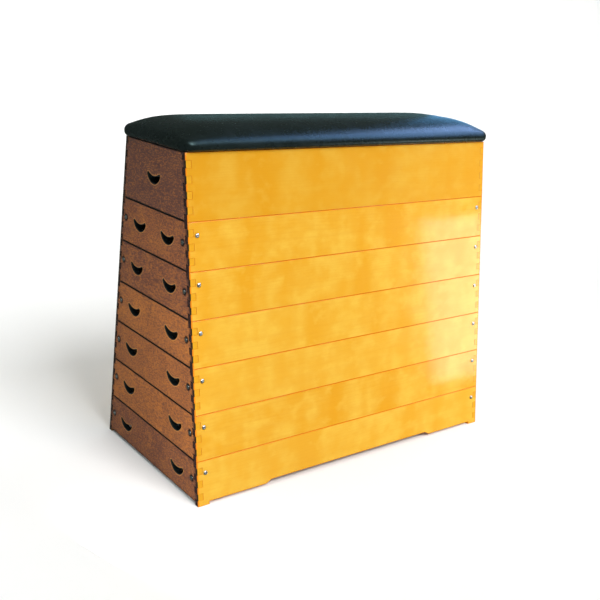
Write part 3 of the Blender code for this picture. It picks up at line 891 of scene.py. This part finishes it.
def open_foam():
    """Cream upholstery foam with fine open pores."""
    finish = Finish("cream_foam")
    place = finish.position()
    pores = finish.add("TexVoronoi", {"Vector": place, "Scale": 700.0})
    soft = finish.noise(place, 9.0)
    colour = finish.mix(finish.span(soft, 0.3, 0.7), rgb(0.78, 0.70, 0.44), rgb(0.70, 0.60, 0.34))
    # The pores are darker: painted shade in them
    colour = finish.mix(finish.span(pores, 0.1, 0.45, 0.45, 0.0), colour, rgb(0.45, 0.36, 0.18))
    finish.set(Base_Color=colour, Roughness=0.92, Normal=finish.bump(pores, 0.0006, 0.6))
    return finish.material


def deck_plywood():
    """Plywood: long faint grain on its faces, and plies of turning grain down its edge."""
    finish = Finish("deck_plies")
    place = finish.position()
    streak = finish.noise(finish.scaled(place, (3.0, 90.0, 90.0)), detail=4.0)
    height = finish.split(place)[2]
    ply = finish.maths("SINE", finish.maths("MULTIPLY", height, 2 * math.pi / PLY_PAIR))
    colour = finish.mix(finish.span(streak, 0.3, 0.7), rgb(0.62, 0.43, 0.24), rgb(0.50, 0.32, 0.16))
    colour = finish.mix(finish.span(ply, 0.0, 0.6, 0.0, 0.3), colour, rgb(0.36, 0.22, 0.11))
    finish.set(Base_Color=colour, Roughness=0.62, Normal=finish.bump(streak, 0.0006, 0.3))
    return finish.material


def bright_steel():
    """Zinc plated steel with faint scratches."""
    finish = Finish("zinc_steel")
    place = finish.position()
    blotch = finish.noise(place, 260.0, detail=3.0)
    scratch = finish.noise(finish.scaled(place, (300.0, 300.0, 4000.0)))
    colour = finish.mix(finish.span(blotch, 0.35, 0.7),
                        rgb(0.76, 0.76, 0.77), rgb(0.60, 0.61, 0.63))
    rough = finish.span(blotch, 0.3, 0.7, 0.22, 0.38)
    normal = finish.bump(scratch, 0.00005, 0.4)
    finish.set(Base_Color=colour, Metallic=1.0, Roughness=rough, Normal=normal)
    return finish.material


def pale_floor():
    """Matt pale paint, a little uneven."""
    finish = Finish("pale_floor")
    soft = finish.noise(finish.position(), 0.8, detail=2.0)
    colour = finish.mix(soft, rgb(0.86, 0.86, 0.855), rgb(0.89, 0.89, 0.885))
    finish.set(Base_Color=colour, Roughness=0.9)
    finish.shader.inputs["Specular IOR Level"].default_value = 0.2
    return finish.material


# Studio


def studio_bowl():
    """A pale floor that turns up into a far wall: a profile turned round the upright axis."""
    flat, bend, wall = 7.0, 4.0, 3.0
    middle, near = 0.01, 2.0
    bend_steps, sides = 16, 96
    turn = np.linspace(0, math.pi / 2, bend_steps + 1)
    radius = np.concatenate(([middle, near], flat + bend * np.sin(turn), [flat + bend]))
    height = np.concatenate(([0.0, 0.0], bend * (1 - np.cos(turn)), [bend + wall]))
    angle = 2 * math.pi * np.arange(sides) / sides
    points = np.stack((radius[:, None] * np.cos(angle), radius[:, None] * np.sin(angle),
                       np.broadcast_to(height[:, None], (len(radius), sides))), -1)
    mesh = bpy.data.meshes.new("floor")
    faces = [face[::-1] for face in band(len(radius), sides)] + [list(range(sides))]
    mesh.from_pydata(points.reshape(-1, 3).tolist(), [], faces)
    mesh.shade_smooth()
    mesh.materials.append(pale_floor())
    floor = bpy.data.objects.new("floor", mesh)
    bpy.context.collection.objects.link(floor)
    floor.visible_glossy = False


def line_of_sight(azimuth, elevation):
    """The direction of +Y, turned by the azimuth towards -X and then down by the elevation."""
    level = math.cos(elevation)
    return Vector((-math.sin(azimuth) * level, math.cos(azimuth) * level, -math.sin(elevation)))


def soft_light(name, place, target, size, power, colour=(1.0, 1.0, 1.0)):
    """A rectangular light that looks at a point."""
    light = bpy.data.lights.new(name, "AREA")
    light.shape = "RECTANGLE"
    light.size, light.size_y = size
    light.energy = power
    light.color = colour
    lamp = bpy.data.objects.new(name, light)
    way = Vector(target) - Vector(place)
    aim = way.to_track_quat("-Z", "Y").to_matrix().to_4x4()
    lamp.matrix_world = Matrix.Translation(place) @ aim
    lamp.visible_camera = False
    bpy.context.collection.objects.link(lamp)
    return lamp


def far_light(name, azimuth, elevation, spread, strength):
    """A wide soft light from far away, so that it is as bright on the wall as on the box."""
    light = bpy.data.lights.new(name, "SUN")
    light.energy = strength
    light.angle = math.radians(spread)
    lamp = bpy.data.objects.new(name, light)
    way = line_of_sight(math.radians(azimuth), math.radians(elevation))
    lamp.matrix_world = way.to_track_quat("-Z", "Y").to_matrix().to_4x4()
    bpy.context.collection.objects.link(lamp)
    return lamp


def lights():
    """Lights that fill the room, and panels that only show as reflections on the box."""
    far_light("key", 6.0, 42.0, 30.0, 3.0)
    top = far_light("top_fill", 0.0, 85.0, 60.0, 1.0)
    side = soft_light("side_fill", (-0.95, -0.37, 0.42), (-0.6, -0.28, 0.42), (0.15, 0.9), 1.7)
    right = soft_light("right_fill", (1.5, -1.3, 0.8), (0.5, -0.2, 0.8), (0.8, 1.4), 14.0)
    for lamp in (top, side, right):
        lamp.visible_glossy = False
    panels = (
        ("low_panel", (1.25, -0.87, 0.38), (1.17, 0.0, 0.38), (0.56, 0.74), 6.8,
         (1.0, 0.97, 0.88)),
        ("side_window", (1.2, -0.45, 1.95), (0.2, -0.45, 1.95), (1.30, 0.95), 31.0,
         (0.33, 0.52, 1.0)),
        ("upper_panel", (1.2, -0.75, 2.75), (0.2, -0.75, 2.75), (1.5, 0.6), 14.0,
         (0.28, 0.50, 1.0)),
        ("line_panel", (1.2, -1.60, 2.65), (0.2, -1.60, 2.65), (0.6, 0.8), 10.0,
         (0.30, 0.60, 1.0)),
        ("tail_panel", (1.2, 0.45, 1.35), (0.2, 0.45, 1.35), (0.45, 0.6), 1.2,
         (0.15, 0.50, 1.0)),
        ("back_panel", (3.4, 3.6, 1.65), (0.0, 0.0, 1.1), (3.6, 0.9), 2.8,
         (0.36, 0.90, 1.0)))
    for panel in panels:
        soft_light(*panel).visible_diffuse = False
    world = bpy.data.worlds.new("studio")
    world.use_nodes = True
    background = world.node_tree.nodes["Background"]
    background.inputs["Color"].default_value = rgb(0.75, 0.95, 0.85)
    background.inputs["Strength"].default_value = 0.10
    bpy.context.scene.world = world


def camera():
    """A camera at its place, turned by its azimuth, elevation and roll."""
    data = bpy.data.cameras.new("camera")
    data.sensor_width = CAMERA_SENSOR
    data.lens = CAMERA_LENS
    forward = line_of_sight(CAMERA_AZIMUTH, CAMERA_ELEVATION)
    right = forward.cross(Vector((0.0, 0.0, 1.0))).normalized()
    up = right.cross(forward)
    turned_right = right * math.cos(CAMERA_ROLL) + up * math.sin(CAMERA_ROLL)
    turned_up = up * math.cos(CAMERA_ROLL) - right * math.sin(CAMERA_ROLL)
    axes = Matrix((turned_right, turned_up, -forward)).transposed()
    eye = bpy.data.objects.new("camera", data)
    eye.matrix_world = Matrix.Translation(CAMERA_PLACE) @ axes.to_4x4()
    bpy.context.collection.objects.link(eye)
    bpy.context.scene.camera = eye


def dress(piece, number, node):
    """Ties a finished piece to its section, and hides the node it stands for."""
    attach(piece, f"section_{number}")
    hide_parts(node)


def build_boards():
    """The four boards of each section, each cut from its own place in the wood."""
    draw = np.random.default_rng(BOARD_SEED)
    side_wood = varnished_wood("side_wood", SIDE_SHADES, roughness=0.13, shine=0.4, lines=0.4,
                               speckle=0.0)
    # The end wood's darker, redder shades are partly painted shade
    end_wood_with_painted_shade = varnished_wood("end_wood_with_painted_shade", END_SHADES_WITH_PAINTED_SHADE, roughness=0.34, shine=0.4, lines=0.8,
                              speckle=0.50)
    least, most = (-9.0, -0.12, 0.0), (9.0, -0.02, 0.04)
    for number in SECTIONS:
        for side, sign in SIDES:
            shift = draw.uniform(least, most)
            board = long_board(number, side, sign, side_wood, shift, SIDE_TONES[number])
            dress(board, number, f"section_{number}_{side}_board")
        for end, sign in ENDS:
            shift = draw.uniform(least, most)
            board = end_board(number, end, sign, end_wood_with_painted_shade, shift, END_TONES_AND_PAINTED_LIGHT[number])
            dress(board, number, f"section_{number}_{end}_end")


def build_posts():
    """The four posts of each lower section, each with its two bolts."""
    draw = np.random.default_rng(POST_SEED)
    post_wood = varnished_wood("post_wood", POST_SHADES, roughness=0.5, shine=0.3, lines=1.0,
                               speckle=0.0)
    steel = bright_steel()
    least, most = (-9.0, -0.1, 0.0), (9.0, 0.0, 0.1)
    for number in LOWER_SECTIONS:
        for side, side_sign in SIDES:
            for end, end_sign in ENDS:
                corner = f"{side}_{end}"
                signs = (end_sign, side_sign)
                node = f"section_{number}_post_{corner}"
                shift = draw.uniform(least, most)
                post = corner_post(number, corner, signs, post_wood, shift)
                dress(post, number, node)
                bolts = corner_bolts(number, corner, signs, steel)
                dress(bolts, number, node)


def build_pad():
    """The foam and the leather over it, and the finish of the deck under them."""
    foam = foam_block(open_foam())
    dress(foam, 1, "foam_core")
    leather = pad_leather(grained_leather())
    dress(leather, 1, "leather_cover")
    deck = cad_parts["deck"]
    deck.data.materials.clear()
    deck.data.materials.append(deck_plywood())


bpy.context.scene.view_settings.view_transform = "Standard"
camera()
studio_bowl()
lights()
build_boards()
build_posts()
build_pad()
